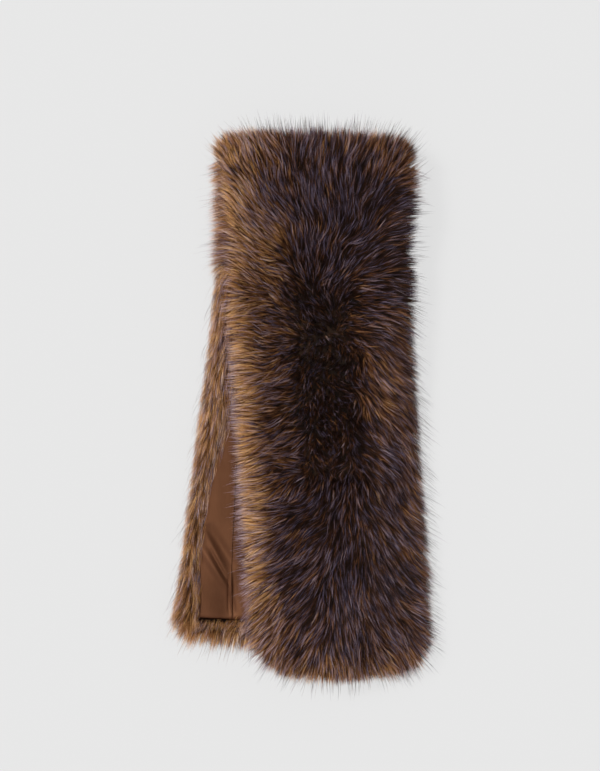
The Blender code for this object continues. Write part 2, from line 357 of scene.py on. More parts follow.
def fold_sheets(turn, across):
    """The strip's section carried round half a turn, from pile up (0) to pile down (pi)."""
    middle, half_width = middle_of(FRONT, 0.0 * turn)
    half_width = half_width - RIM_DEPTH - (FOLD_PINCH + FOLD_PINCH_LEFT * (across < 0.0)) * np.sin(turn) ** 2
    to_side = (1.0 - np.abs(across)) * half_width
    high = THICK - PILE_DEPTH - FOLD_PRESS * np.sin(turn) ** 2
    rim = FOLD_BORE + RIM_LEVEL * (high - FOLD_BORE)
    outer = rim + (high - rim) * round_in(to_side, PILE_RIM)
    inner = rim + (FOLD_BORE - rim) * round_in(to_side, LINED_RIM)
    shift = across * half_width

    def at(radius):
        x = middle + shift * math.cos(FOLD_TILT) + 0.0 * turn
        y = FOLD_Y + shift * math.sin(FOLD_TILT) + radius * np.sin(turn)
        return np.stack([x, y, THICK + radius * np.cos(turn)], -1)

    return at(outer), at(inner)


# %% [markdown]
# ## One grid over the strip
#
# The rim turns over in a few millimetres and the middle is nearly flat, so equal steps would waste points:
# columns stand closer near the sides, and rows near the rounded ends.

# %% The grid of the whole strip
EDGE_STEPS = np.array([0.0, 0.0008, 0.0025, 0.005, 0.008, 0.012, 0.016, 0.020])
CLOTH_HALF_WIDTH = 0.084
ROUND_END = 0.044


def across_columns(inner=26):
    near = -1.0 + EDGE_STEPS / CLOTH_HALF_WIDTH
    return np.concatenate([near, np.linspace(near[-1], -near[-1], inner + 1)[1:-1], -near[::-1]])


def along_rows(stretch, end_inset, inner):
    end = length_of(stretch) - end_inset
    even = np.linspace(0.0, end - ROUND_END, inner + 1)
    turned = np.linspace(0.0, math.pi / 2, 13)[1:]
    return np.concatenate([even, end - ROUND_END * (1.0 - np.sin(turned))])


def strip_sheets():
    """Both sheets from the front's end over the fold to the back's end, and which stretch each row is in."""
    across = across_columns()[None, :]
    front = along_rows(FRONT, FRONT_END_DEPTH, 60)[::-1][:-1, None]
    back = along_rows(BACK, BACK_END_DEPTH, 56)[1:, None]
    turn = np.linspace(0.0, math.pi, 17)[:, None]
    parts = [front_sheets(front, across), fold_sheets(turn, across), back_sheets(back, across)]
    pile = np.concatenate([part[0] for part in parts])
    lined = np.concatenate([part[1] for part in parts])
    stretch = np.repeat([0, 1, 2], [len(part[0]) for part in parts])
    return pile, lined, stretch


PILE_SHEET, LINED_SHEET, ROW_STRETCH = strip_sheets()
print("strip grid", PILE_SHEET.shape[:2])

# %% [markdown]
# ## From arrays to meshes
#
# Blender keeps a mesh as flat lists, and foreach_set fills a whole list at once, which is what makes so many
# hairs quick. A closed shell's two sheets share their outer rows and columns, and its volume is positive when
# its faces point outwards.

# %% Meshes from arrays
def mesh_from(name, points, faces):
    """A smooth mesh: points is (n, 3), and faces a list of (m, corners) arrays."""
    mesh = bpy.data.meshes.new(name)
    loops = np.concatenate([face.ravel() for face in faces]).astype(np.int32)
    totals = np.concatenate([np.full(len(face), face.shape[1]) for face in faces]).astype(np.int32)
    starts = np.concatenate([[0], np.cumsum(totals)[:-1]]).astype(np.int32)
    mesh.vertices.add(len(points))
    mesh.loops.add(len(loops))
    mesh.polygons.add(len(totals))
    mesh.vertices.foreach_set("co", np.ascontiguousarray(points, np.float32).ravel())
    mesh.loops.foreach_set("vertex_index", loops)
    mesh.polygons.foreach_set("loop_start", starts)
    mesh.polygons.foreach_set("use_smooth", np.ones(len(totals), bool))
    mesh.update(calc_edges=True)
    mesh.validate()
    return mesh


def add_piece(name, mesh, material):
    mesh.materials.append(material)
    piece = bpy.data.objects.new(name, mesh)
    bpy.context.scene.collection.objects.link(piece)
    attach(piece, "root")
    return piece


def grid_faces(index):
    """Quads between neighbours of an index grid, wound so that they face up where rows run to -Y."""
    a, b, c, d = index[:-1, :-1], index[:-1, 1:], index[1:, 1:], index[1:, :-1]
    return np.stack([a, d, c, b], -1).reshape(-1, 4)


def closed_from(upper, lower):
    """One shell of two grids: the lower grid takes its outer rows and columns from the upper one."""
    rows, columns = upper.shape[:2]
    top = np.arange(rows * columns).reshape(rows, columns)
    bottom = top.copy()
    inner = np.arange((rows - 2) * (columns - 2)).reshape(rows - 2, columns - 2)
    bottom[1:-1, 1:-1] = inner + rows * columns
    points = np.concatenate([upper.reshape(-1, 3), lower[1:-1, 1:-1].reshape(-1, 3)])
    return points, [grid_faces(top), grid_faces(bottom)[:, ::-1]]


def volume_of(points, faces):
    """A sixth of the sum of the corners' triple products: positive if the faces point outwards."""
    total = 0.0
    for face in faces:
        first = points[face[:, 0]]
        for turn in range(1, face.shape[1] - 1):
            cross = np.cross(points[face[:, turn]], points[face[:, turn + 1]])
            total += float((first * cross).sum())
    return total / 6.0


# %% [markdown]
# ## Shader maths as expressions
#
# A material is a formula for each point of a surface. Written as node calls it is long and hard to read, so
# a small class wraps a socket, and Python's own operators add the Math nodes.


# %% A socket that can be used in expressions
class Sheet:
    """Node tree of one material, or of a world, with one method that adds any node."""

    def __init__(self, name, kind="materials"):
        self.owner = getattr(bpy.data, kind).new(name)
        self.owner.use_nodes = True
        self.tree = self.owner.node_tree
        self.tree.nodes.clear()

    def add(self, kind, settings=None, out=0, **links):
        """Adds a node, sets its settings, then its sockets: _ is a space, and n2 is the third socket."""
        node = self.tree.nodes.new(kind)
        for key, value in (settings or {}).items():
            if key == "stops":
                ramp = node.color_ramp
                while len(ramp.elements) < len(value):
                    ramp.elements.new(1.0)
                for element, (place, colour) in zip(ramp.elements, value):
                    element.position, element.color = place, colour
            else:
                setattr(node, key, value)
        for key, value in links.items():
            by_number = key[0] == "n" and key[1:].isdigit()
            socket = node.inputs[int(key[1:]) if by_number else key.replace("_", " ")]
            if isinstance(value, Value):
                self.tree.links.new(value.socket, socket)
            else:
                socket.default_value = value
        return Value(self, node.outputs[out]) if node.outputs else None

    def principled(self, **links):
        """The shader and the output. Constants are set on the shader's own sockets."""
        shader = self.add("ShaderNodeBsdfPrincipled", **links)
        self.add("ShaderNodeOutputMaterial", Surface=shader)
        return self.owner


class Value:
    def __init__(self, sheet, socket):
        self.sheet, self.socket = sheet, socket

    def math(self, operation, other=None, swap=False):
        values = [self] if other is None else [other, self] if swap else [self, other]
        named = {f"n{i}": value for i, value in enumerate(values)}
        return self.sheet.add("ShaderNodeMath", {"operation": operation}, **named)

    def __add__(self, other):
        return self.math("ADD", other)

    def __sub__(self, other):
        return self.math("SUBTRACT", other)

    def __rsub__(self, other):
        return self.math("SUBTRACT", other, swap=True)

    def __mul__(self, other):
        return self.math("MULTIPLY", other)

    def __truediv__(self, other):
        return self.math("DIVIDE", other)

    __radd__, __rmul__ = __add__, __mul__

    def smooth(self, low, high):
        """0 below low and 1 above high, with a smooth rise."""
        return self.sheet.add(
            "ShaderNodeMapRange",
            {"interpolation_type": "SMOOTHSTEP", "clamp": True},
            Value=self, From_Min=low, From_Max=high, To_Min=0.0, To_Max=1.0,
        )

    def ramp(self, *stops):
        """Colour ramp through (place, (r, g, b)) stops."""
        full = [(place, (*colour, 1.0)) for place, colour in stops]
        return self.sheet.add("ShaderNodeValToRGB", {"stops": full}, Fac=self)


def mix(sheet, amount, first, second):
    """Colour first where amount is 0 and second where it is 1."""
    first, second = [c if isinstance(c, Value) else (*c, 1.0) for c in (first, second)]
    return sheet.add(
        "ShaderNodeMix", {"data_type": "RGBA", "clamp_factor": True}, out=2, n0=amount, n6=first, n7=second
    )


# %% [markdown]
# ## Underfur
#
# Between the hairs one sees dense, woolly underfur. It is drawn as a brown that changes with soft noise,
# with a bump as of tangled wool, read from Object coordinates. Its dark is painted shade in the bump's
# hollows, where the wool is deep, and also falls in soft random patches.

# %% Underfur finish
# the dark is painted shade in the tufts' hollows, and a random darker tone in patches
UNDERFUR_DARK_AND_SHADE = (0.010, 0.006, 0.004)
UNDERFUR_BROWN = (0.060, 0.030, 0.016)


def underfur_finish():
    s = Sheet("underfur")
    place = s.add("ShaderNodeTexCoord", out="Object")
    stretched = s.add("ShaderNodeMapping", Vector=place, Scale=(1.0, 0.35, 1.0))
    tufts = s.add("ShaderNodeTexNoise", Vector=stretched, Scale=260.0, Detail=4.0, Roughness=0.6)
    patches = s.add("ShaderNodeTexNoise", Vector=place, Scale=22.0, Detail=2.0)
    # Painted shade: darker where the tufts' bump is low, and in random patches.
    colour = mix(s, tufts.smooth(0.35, 0.75) * patches.smooth(0.3, 0.7), UNDERFUR_DARK_AND_SHADE, UNDERFUR_BROWN)
    bump = s.add("ShaderNodeBump", Height=tufts, Strength=0.8, Distance=0.0015)
    return s.principled(Base_Color=colour, Roughness=0.85, Normal=bump, Specular_IOR_Level=0.2)


# %% The cloth body
def make_body():
    """The closed strip. Its rows are turned end for end, because grid_faces wants them to run to -Y."""
    points, faces = closed_from(PILE_SHEET[::-1], LINED_SHEET[::-1])
    mesh = mesh_from("fur_cloth", points, faces)
    body = add_piece("fur_cloth", mesh, underfur_finish())
    print("fur cloth", len(mesh.polygons), "quads, volume", round(volume_of(points, faces), 6))
    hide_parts("fur_front", "fur_fold", "fur_back")
    return body


fur_cloth = make_body()

# %% [markdown]
# ## Lining
#
# The satin lies in the tray between the fur borders. Where the strip is relaxed it lies smooth. Lower down
# the seam holds it short, so a soft fold runs slanting from the left border to the seam, and a narrow tuck
# stands along the seam to the end. Each fold is given as a bell-shaped ridge or trough along a line.

# %% Folds of the lining
Fold = namedtuple("Fold", "start end half_width height")
LINING_FOLDS = (
    Fold((-0.0985, -0.1255), (-0.0745, -0.1720), 0.0026, 0.0020),
    Fold((-0.0955, -0.1200), (-0.0675, -0.1650), 0.0054, -0.0040),
    Fold((-0.0930, -0.1450), (-0.0740, -0.1800), 0.0020, -0.0026),
    Fold((-0.1025, -0.1400), (-0.0715, -0.1900), 0.0044, 0.0046),
    Fold((-0.0712, -0.1660), (-0.0712, -0.2190), 0.0008, 0.0017),
    Fold((-0.0743, -0.1720), (-0.0741, -0.2090), 0.0011, -0.0018),
    Fold((-0.0690, -0.1700), (-0.0688, -0.2130), 0.0013, -0.0008),
    Fold((-0.0860, -0.0500), (-0.0840, -0.1250), 0.0075, 0.0010),
    Fold((-0.0700, -0.1850), (-0.0580, -0.2180), 0.0040, 0.0012),
    Fold((-0.0590, 0.1000), (-0.0550, -0.2600), 0.0090, -0.0042),
)


def fold_heights(x, y, folds):
    """Sum of height x sin(pi run)^0.7 x exp(-(off / half_width)^2): bells along lines, fading at the ends."""
    total = np.zeros_like(x)
    for fold in folds:
        start, line = np.array(fold.start), np.array(fold.end) - np.array(fold.start)
        length = float(np.hypot(*line))
        run = ((x - start[0]) * line[0] + (y - start[1]) * line[1]) / length
        off = ((x - start[0]) * line[1] - (y - start[1]) * line[0]) / length
        fade = np.sin(np.clip(run / length, 0.0, 1.0) * math.pi) ** 0.7
        total += fold.height * fade * np.exp(-((off / fold.half_width) ** 2))
    return total


# %% The satin's surface
SEAM = ((0.060, 0.014), (0.330, 0.018), (0.420, 0.026), (0.480, 0.033))  # along, and in from the left edge
SEAM_SHIFT = 0.003
SEAM_GAP = 0.0001  # each panel stops this short of the seam
LINING_LIFT = 0.0001
LINING_WALL = 0.0005
LINING_ROWS = 240
EDGE_TUCK = -0.0030


def seam_at(rows):
    return through(rows, *np.array(SEAM).T) + SEAM_SHIFT


def lining_height(x, y):
    """The tray's floor, with the folds, the slack hollow, and an edge that is tucked in."""
    edge = EDGE_TUCK * smoothstep(-0.0060, -0.0010, beyond_lining(x, y))
    return TRAY_FLOOR + LINING_LIFT + fold_heights(x, y, LINING_FOLDS) - slack_hollow(x, y) + edge


def lining_sheet(first, last, columns, crowd):
    """Rows down the back stretch, and columns between two distances from the lining's left edge.

    Column part p in 0..1 is raised to the power of crowd, which crowds the columns to the first edge.
    """
    rows = np.linspace(FOLD_RUN, length_of(BACK) - LINING_EDGE_RIGHT, LINING_ROWS)[:, None]
    middle, half_width = middle_of(BACK, rows)
    inside = half_width - LINING_EDGE_RIGHT
    part = np.linspace(0.0, 1.0, columns)[None, :] ** crowd
    shift = first(rows, inside) * (1.0 - part) + last(rows, inside) * part - inside
    turn = turn_at(BACK, rows)
    x, y = middle + shift * np.cos(turn), FOLD_Y - rows + shift * np.sin(turn)
    return np.stack([x, y, lining_height(x, y)], -1)


# %% [markdown]
# The finish is a satin: long floats of warm brown thread give it a soft, slightly directional gloss, and from
# near one sees a fine slanting twill. It has its own map, in metres of cloth, so that the weave follows it.

# %% Satin finish
SATIN_BROWN = (0.122, 0.051, 0.027)
SATIN_DEEP = (0.070, 0.028, 0.013)


def satin_finish():
    s = Sheet("brown_satin")
    cloth = s.add("ShaderNodeUVMap", {"uv_map": "cloth"})
    twill = s.add(
        "ShaderNodeTexWave", {"bands_direction": "DIAGONAL"}, Vector=cloth, Scale=420.0, Distortion=1.2
    )
    drawn_out = s.add("ShaderNodeMapping", Vector=cloth, Scale=(1.0, 0.08, 1.0))
    threads = s.add("ShaderNodeTexNoise", Vector=drawn_out, Scale=900.0, Detail=2.0)
    shade = s.add("ShaderNodeTexNoise", Vector=cloth, Scale=30.0, Detail=3.0)
    tone = threads.smooth(0.3, 0.7) * 0.15 + shade.smooth(0.3, 0.7) * 0.4
    bump = s.add("ShaderNodeBump", Height=twill * 0.5 + threads * 0.5, Strength=0.25, Distance=0.0003)
    return s.principled(
        Base_Color=mix(s, tone, SATIN_BROWN, SATIN_DEEP), Roughness=0.45, Normal=bump,
        Specular_IOR_Level=0.55, Specular_Tint=(1.0, 0.45, 0.22, 1.0),
    )


# %% The two satin panels
def add_map(mesh, name, places):
    """A UV map from one place per vertex."""
    corners = np.empty(len(mesh.loops), np.int32)
    mesh.loops.foreach_get("vertex_index", corners)
    mesh.uv_layers.new(name=name).data.foreach_set("uv", places[corners].astype(np.float32).ravel())


def make_lining(name, first, last, columns, crowd, material):
    sheet = lining_sheet(first, last, columns, crowd)
    points, faces = closed_from(sheet, sheet - np.array([0.0, 0.0, LINING_WALL]))
    mesh = mesh_from(name, points, faces)
    add_map(mesh, "cloth", points[:, :2])
    piece = add_piece(name, mesh, material)
    print(name, len(mesh.polygons), "quads, volume", round(volume_of(points, faces), 7))
    return piece


satin = satin_finish()
lining_main = make_lining(
    "lining_main_satin",
    lambda rows, inside: seam_at(rows) + SEAM_GAP,
    lambda rows, inside: 2.0 * inside,
    columns=56, crowd=2.2, material=satin,
)
lining_side = make_lining(
    "lining_side_satin",
    lambda rows, inside: lining_edge(rows) - LINING_EDGE_RIGHT,
    lambda rows, inside: seam_at(rows) - SEAM_GAP,
    columns=48, crowd=1.0, material=satin,
)
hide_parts("lining_main")
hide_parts("lining_side")

# %% [markdown]
# ## Grooming guides
#
# Fur reads as fur through the way it lies. A groomer combs a few guide tufts and every hair between them
# follows. This fur fans out from a dark crown line down the middle of the front, where it stands up towards
# the viewer. Each guide says where it is, its heading (0 is +X, 90 is +Y), its lift (0 flat, 1 upright),
# and the look of the hairs there: how golden they are, and how much painted violet-grey sheen their tips
# have.

# %% Guides of the front stretch
GUIDES = np.array([
    # x, y, heading, lift, gold, violet
    (-0.080, 0.265, 130, 0.20, 0.87, 0.35),
    (-0.060, 0.235, 122, 0.20, 0.58, 0.55),
    (-0.025, 0.255, 105, 0.20, 0.35, 0.60),
    (0.010, 0.255, 92, 0.20, 0.22, 0.60),
    (0.050, 0.255, 80, 0.20, 0.25, 0.45),
    (0.090, 0.250, 60, 0.20, 0.39, 0.27),
    (0.108, 0.235, 30, 0.20, 0.39, 0.23),
    (-0.020, 0.205, 108, 0.25, 0.25, 0.70),
    (0.020, 0.200, 93, 0.25, 0.10, 0.75),
    (0.055, 0.195, 82, 0.30, 0.10, 0.55),
    (0.088, 0.190, 5, 0.25, 0.07, 0.27),
    (-0.077, 0.200, 150, 0.15, 1.12, 0.35),
    (-0.077, 0.150, 182, 0.15, 1.10, 0.40),
    (-0.045, 0.170, 138, 0.30, 0.55, 0.50),
    (-0.040, 0.130, 168, 0.45, 0.55, 0.30),
    (0.015, 0.150, 95, 0.45, 0.12, 0.60),
    (0.020, 0.100, 90, 0.75, 0.10, 0.40),
    (0.060, 0.140, 40, 0.45, 0.08, 0.45),
    (0.090, 0.130, 350, 0.25, 0.09, 0.27),
    (-0.068, 0.080, 192, 0.15, 1.07, 0.40),
    (-0.028, 0.080, 180, 0.50, 0.37, 0.45),
    (0.065, 0.080, 340, 0.45, 0.29, 0.23),
    (0.100, 0.070, 325, 0.20, 0.28, 0.31),
    (0.030, 0.040, 270, 0.95, 0.06, 0.20),
    (0.025, 0.000, 270, 1.00, 0.05, 0.15),
    (-0.062, 0.020, 194, 0.15, 1.07, 0.50),
    (-0.022, 0.020, 195, 0.50, 0.31, 0.40),
    (0.080, 0.020, 315, 0.25, 0.41, 0.31),
    (0.105, 0.010, 310, 0.15, 0.32, 0.39),
    (-0.058, -0.040, 190, 0.15, 1.07, 0.60),
    (-0.018, -0.040, 200, 0.45, 0.31, 0.50),
    (0.035, -0.050, 270, 0.90, 0.06, 0.25),
    (0.075, -0.050, 300, 0.40, 0.18, 0.39),
    (0.110, -0.060, 310, 0.15, 0.32, 0.39),
    (-0.052, -0.100, 190, 0.15, 0.99, 0.70),
    (0.000, -0.100, 215, 0.40, 0.11, 0.45),
    (0.040, -0.100, 265, 0.55, 0.05, 0.36),
    (0.080, -0.110, 295, 0.30, 0.23, 0.47),
    (0.112, -0.120, 315, 0.15, 0.32, 0.31),
    (-0.047, -0.160, 196, 0.15, 0.89, 0.75),
    (0.000, -0.160, 220, 0.30, 0.13, 0.54),
    (0.040, -0.160, 262, 0.35, 0.06, 0.45),
    (0.080, -0.170, 298, 0.25, 0.14, 0.51),
    (0.115, -0.180, 318, 0.15, 0.28, 0.39),
    (-0.040, -0.215, 230, 0.20, 0.56, 0.65),
    (0.000, -0.220, 235, 0.20, 0.22, 0.59),
    (0.040, -0.220, 268, 0.20, 0.15, 0.59),
    (0.080, -0.220, 295, 0.20, 0.21, 0.47),
    (0.115, -0.215, 320, 0.15, 0.29, 0.39),
    (-0.020, -0.260, 242, 0.15, 0.60, 0.35),
    (0.040, -0.270, 270, 0.15, 0.52, 0.27),
    (0.100, -0.260, 300, 0.15, 0.47, 0.27),
])
GUIDE_REACH = 0.015
MEETING_LIFT = 0.8

print(len(GUIDES), "guides")


# %% Between the guides
def guided(x, y):
    """Flow, lift, gold and violet at points, from guides weighted by exp(-(distance / reach)^2 / 2).

    Where headings disagree, the mean flow is short, and hairs lift by MEETING_LIFT x (1 - its length).
    """
    off = (x[:, None] - GUIDES[:, 0]) ** 2 + (y[:, None] - GUIDES[:, 1]) ** 2
    weight = np.exp(-off / (2.0 * GUIDE_REACH**2)) + 1e-9
    weight /= weight.sum(1, keepdims=True)
    heading = np.radians(GUIDES[:, 2])
    flow = np.stack([weight @ np.cos(heading), weight @ np.sin(heading)], -1)
    lift, gold, violet = (weight @ GUIDES[:, 3:]).T
    lift = np.clip(lift + MEETING_LIFT * (1.0 - np.linalg.norm(flow, axis=-1)), 0.0, 1.0)
    return flow, lift, gold, violet


# %% [markdown]
# ## Soft noise
#
# Neighbouring locks of a pelt share a turn, a length and a tone, which wander slowly over the cloth. Random
# numbers alone would differ from hair to hair, so they are set on a coarse lattice and eased between.

# %% Soft noise for patches and locks
LATTICE = 64


def soft_noise(points, size, seed):
    """Value noise in -1..1: random values on a lattice of that size, eased between their corners."""
    values = np.random.default_rng(seed).uniform(-1.0, 1.0, (LATTICE, LATTICE, LATTICE))
    at = points / size + 31.0  # an offset that keeps every place of the wrap inside the lattice
    cell = np.floor(at).astype(int)
    part = at - cell
    part = part * part * (3.0 - 2.0 * part)
    total = np.zeros(len(points))
    for corner in np.ndindex(2, 2, 2):
        near = (cell + corner) % LATTICE
        share = np.prod(np.where(np.array(corner) == 1, part, 1.0 - part), axis=-1)
        total += share * values[near[:, 0], near[:, 1], near[:, 2]]
    return total


# %% [markdown]
# ## Where the hairs are rooted
#
# Locks grow from points spread over the cloth by area. A surface that nobody can see needs none, so each
# point gets a weight: full on the pile side of the front stretch and the fold, on the rims and on the
# border beside the lining, and none under the lining or where the back stretch lies on the surface.


# %% Both sides of the cloth as patches
def sheet_normals(points, outward):
    """Cross product of the grid's two directions, turned to the outward side."""
    normal = np.cross(np.gradient(points, axis=1), np.gradient(points, axis=0))
    return unit(normal) * outward


Patch = namedtuple("Patch", "points normals stretch pile_side to_edge")
FRINGE_TOP = 0.18


def patches():
    """Both sheets as patches, with the distance of each point from the strip's edge."""
    to_side = (1.0 - np.abs(across_columns()))[None, :] * CLOTH_HALF_WIDTH
    middle_y = PILE_SHEET[:, PILE_SHEET.shape[1] // 2, 1]
    front_end = np.where(ROW_STRETCH == 0, np.abs(middle_y - middle_y[0]), 1.0)
    back_end = np.where(ROW_STRETCH == 2, np.abs(middle_y - middle_y[-1]), 1.0)
    to_edge = np.minimum(to_side, np.minimum(front_end, back_end)[:, None])
    stretch = ROW_STRETCH[:, None] + np.zeros(PILE_SHEET.shape[1])
    pile = Patch(PILE_SHEET, sheet_normals(PILE_SHEET, 1.0), stretch, True, to_edge)
    lined = Patch(LINED_SHEET, sheet_normals(LINED_SHEET, -1.0), stretch, False, to_edge)
    return pile, lined


# %% Root points
def visible_share(patch):
    """Density of hairs at each grid point of a patch: 1 on the open pile, and 0 where nobody sees it."""
    x, y = patch.points[..., 0], patch.points[..., 1]
    front, back = patch.stretch == 0, patch.stretch == 2
    if patch.pile_side:
        # The back stretch lies on its pile, which shows only at the rim and up beside the fold.
        share = np.ones_like(x)
        near_fold = smoothstep(FOLD_Y - 0.035, FOLD_Y - 0.015, y)
        share[back] = 0.8 * np.maximum(smoothstep(0.016, 0.009, patch.to_edge), near_fold)[back]
        return share
    # On the lined side hairs turn round the rims, and further in where the front stretch hangs free.
    share = np.where(patch.stretch == 1, smoothstep(0.012, 0.006, patch.to_edge), 0.0)
    hanging = smoothstep(-0.012, 0.010, outside_back(x, y))
    share[front] = (0.6 * smoothstep(0.010, 0.006, patch.to_edge))[front]
    share[front] += (1.4 * hanging * smoothstep(0.026, 0.016, patch.to_edge))[front]
    # The back stretch's border begins where the lining ends.
    share[back] = smoothstep(-0.0044, -0.0024, beyond_lining(x, y))[back]
    return share


def sample_roots(patch, count, rng, where="all"):
    """count points on a patch: quads drawn by area x share, and a random place in each.

    where is all, rims (steep places, more on the right) or fringe (the front stretch's left rim).
    """
    p, n = patch.points, patch.normals
    share = visible_share(patch)
    if where != "all":
        steep = smoothstep(0.25, 0.80, 1.0 - np.abs(n[..., 2]))
        share = share * steep * (1.0 + np.clip(n[..., 0], -0.3, 1.0))
    if where == "fringe":
        left_rim = (patch.stretch == 0) * smoothstep(-0.4, -0.8, n[..., 0])
        share = share * left_rim * (p[..., 1] < FRINGE_TOP)
    quads = (slice(None, -1), slice(None, -1)), (slice(None, -1), slice(1, None))
    quads += (slice(1, None), slice(1, None)), (slice(1, None), slice(None, -1))
    corners = [p[q] for q in quads]
    area = 0.5 * np.linalg.norm(np.cross(corners[2] - corners[0], corners[3] - corners[1]), axis=-1)
    weight = (area * np.mean([share[q] for q in quads], axis=0)).ravel()
    chosen = rng.choice(len(weight), count, p=weight / weight.sum())
    row, column = np.divmod(chosen, p.shape[1] - 1)
    u, v = rng.random(count)[:, None], rng.random(count)[:, None]

    def between(field):
        top = field[row, column] * (1 - u) + field[row, column + 1] * u
        return top * (1 - v) + (field[row + 1, column] * (1 - u) + field[row + 1, column + 1] * u) * v

    return between(p), unit(between(n)), patch.stretch[row, column], weight.sum()


PATCHES = patches()
AREAS = [sample_roots(patch, 1, np.random.default_rng(0))[3] for patch in PATCHES]
print("hairy area", round(sum(AREAS), 4), "m2")

# %% [markdown]
# ## How a hair grows
#
# A hair leaves the cloth steeply and lies over towards its tip. So its direction turns, step by step, from
# a steep angle to a flat one in the plane of the surface's normal and the flow. Hairs of a lock start a
# little apart and their tips come together. A hair is drawn as a flat ribbon, widest near its root and
# closed to a point, that faces away from the cloth: at this size it looks like a hair and costs one to
# seven triangles.

# %% Flow over the whole strip
BORDER_FLOW = unit(np.array([-0.105, -1.0]))
OUTWARD_FLOW = (0.95, -0.30)  # beside the front stretch's upper part; x is mirrored on the left
# the border's violet value is a painted violet-grey sheen at the hairs' tips
BORDER_LIFT, BORDER_GOLD, BORDER_PAINTED_SHEEN = 0.05, 0.66, 0.40


def flow_at(root, normal, stretch):
    """In-plane direction, lift, gold and violet of the fur at points of the cloth.

    The front stretch and the fold follow the guides. The back stretch's border runs down the strip, and its
    hairs turn outwards near the fold and at the end. Steep places hang lower, and are painted more golden as
    side light, least on the right.
    """
    x, y = root[:, 0], root[:, 1]
    flow, lift, gold, violet = guided(x, y)
    back = stretch == 2
    middle, half_width = middle_of(BACK, FOLD_Y - y)
    side = (x - middle) / half_width
    upper = smoothstep(0.125, 0.150, y)[:, None]
    outwards = np.stack([OUTWARD_FLOW[0] * np.sign(side), np.full_like(side, OUTWARD_FLOW[1])], -1)
    border = BORDER_FLOW * (1.0 - upper) + outwards * upper
    border = border + np.stack([(0.15 + 0.30 * smoothstep(-0.17, -0.21, y)) * side, 0.0 * side], -1)
    flow = np.where(back[:, None], border, flow)
    at_end = smoothstep(0.010, 0.0, beyond_lining(x, y)) * smoothstep(-0.185, -0.205, y)
    lift = np.where(back, BORDER_LIFT + 0.30 * at_end, lift)
    gold = np.where(back, BORDER_GOLD + 0.08 * smoothstep(-0.195, -0.215, y), gold)
    # The border's painted violet-grey sheen grows towards the fold.
    more_painted_sheen = 0.25 * smoothstep(-0.15, -0.06, y) + 0.25 * upper[:, 0]
    violet = np.where(back, BORDER_PAINTED_SHEEN + more_painted_sheen, violet)
    steep = 1.0 - np.abs(normal[:, 2])
    droop = 0.05 + 0.30 * steep + 0.50 * smoothstep(-0.1, -0.6, normal[:, 2])
    guide = unit(np.concatenate([flow, -droop[:, None]], -1))
    guide = guide - np.minimum((guide * normal).sum(-1, keepdims=True), 0.0) * normal
    # Painted side light: steep rims are made more golden, as if lit from the side, and a fifth as much on the
    # shaded right.
    gold = gold + 0.30 * steep * (1.0 - 0.8 * smoothstep(0.06, 0.09, x))
    return unit(guide), lift, gold, violet


# %% The curve of a hair
Hairs = namedtuple("Hairs", "points side width gold violet")
ONE_STEP_PART = 0.55  # how far over a hair of a single step lies


def grow(root, normal, flow, lift, length, curl, steps, rng):
    """Points of each hair: p(k+1) = p(k) + length / steps x direction(k).

    direction = flow cos(angle) + normal sin(angle) + curl x sideways, with the angle falling from a steep
    start to a flat tip as the lift allows.
    """
    count = len(root)
    sideways = unit(np.cross(normal, flow) + np.array([0.0, 0.0, 1e-6]))
    start = np.radians(34.0 + 46.0 * lift + rng.normal(0.0, 7.0, count))
    tip = np.radians(2.0 + 64.0 * lift**1.6 + rng.normal(0.0, 6.0, count))
    points = [root]
    for step in range(steps):
        part = step / (steps - 1) if steps > 1 else ONE_STEP_PART
        angle = (start * (1.0 - part) + tip * part)[:, None]
        aside = (curl * (part - 0.3))[:, None]
        direction = flow * np.cos(angle) + normal * np.sin(angle) + sideways * aside
        points.append(points[-1] + unit(direction) * (length / steps)[:, None])
    return np.stack(points, 1), sideways


# %% [markdown]
# ## Locks
#
# A pelt's hairs stand in locks: five to seven hairs rooted together, with one turn, length and tone, and
# their tips gathered. Darker locks give the pile its depth. Hairs also can't pass through what they lie on,
# and the longest are shortened to stay near the wrap's true size.

# %% Where hairs stop
HAIR_REACH = np.array([0.0155, 0.0190, 0.0085])  # how far hairs may pass the CAD box, along each axis
SURFACE_GAP = 0.0006


def ground_under(x, y):
    """What hairs of the front stretch come to rest on: the border or the lining, or the surface."""
    outside = outside_back(x, y)
    tray = TRAY_FLOOR + (BORDER_TOP - TRAY_FLOOR - 0.002) * smoothstep(-0.001, 0.010, beyond_lining(x, y))
    return np.where(outside < -0.006, tray + SURFACE_GAP, SURFACE_GAP)


def kept_within(points):
    """Shortens the hairs that would reach past the CAD box by more than HAIR_REACH on any side."""
    root = points[:, :1]
    out = points - root
    low, high = np.array(CAD_BOX[0]) - HAIR_REACH, np.array(CAD_BOX[1]) + HAIR_REACH
    room = np.where(out > 0.0, high - root, root - low) / np.maximum(np.abs(out), 1e-9)
    return root + out * np.clip(room.min(axis=(1, 2)), 0.1, 1.0)[:, None, None]


# %% Locks of hairs
Kind = namedtuple(
    "Kind",
    "locks per_lock length spread width steps seed gold violet dark trim where",
    defaults=(0.30, "all"),
)
DARK_SHARE, DARK_SHARE_BACK = 0.29, 0.16  # of the locks
GOLD_NOISE = 0.19
# Shares of hairs with a painted violet-grey sheen at the tip, in sheen locks and elsewhere.
PAINTED_SHEEN_IN_LOCK, PAINTED_SHEEN_ELSEWHERE = 0.70, 0.06
GATHER, GATHER_BACK = 0.45, 0.10  # how far a lock's tips come together


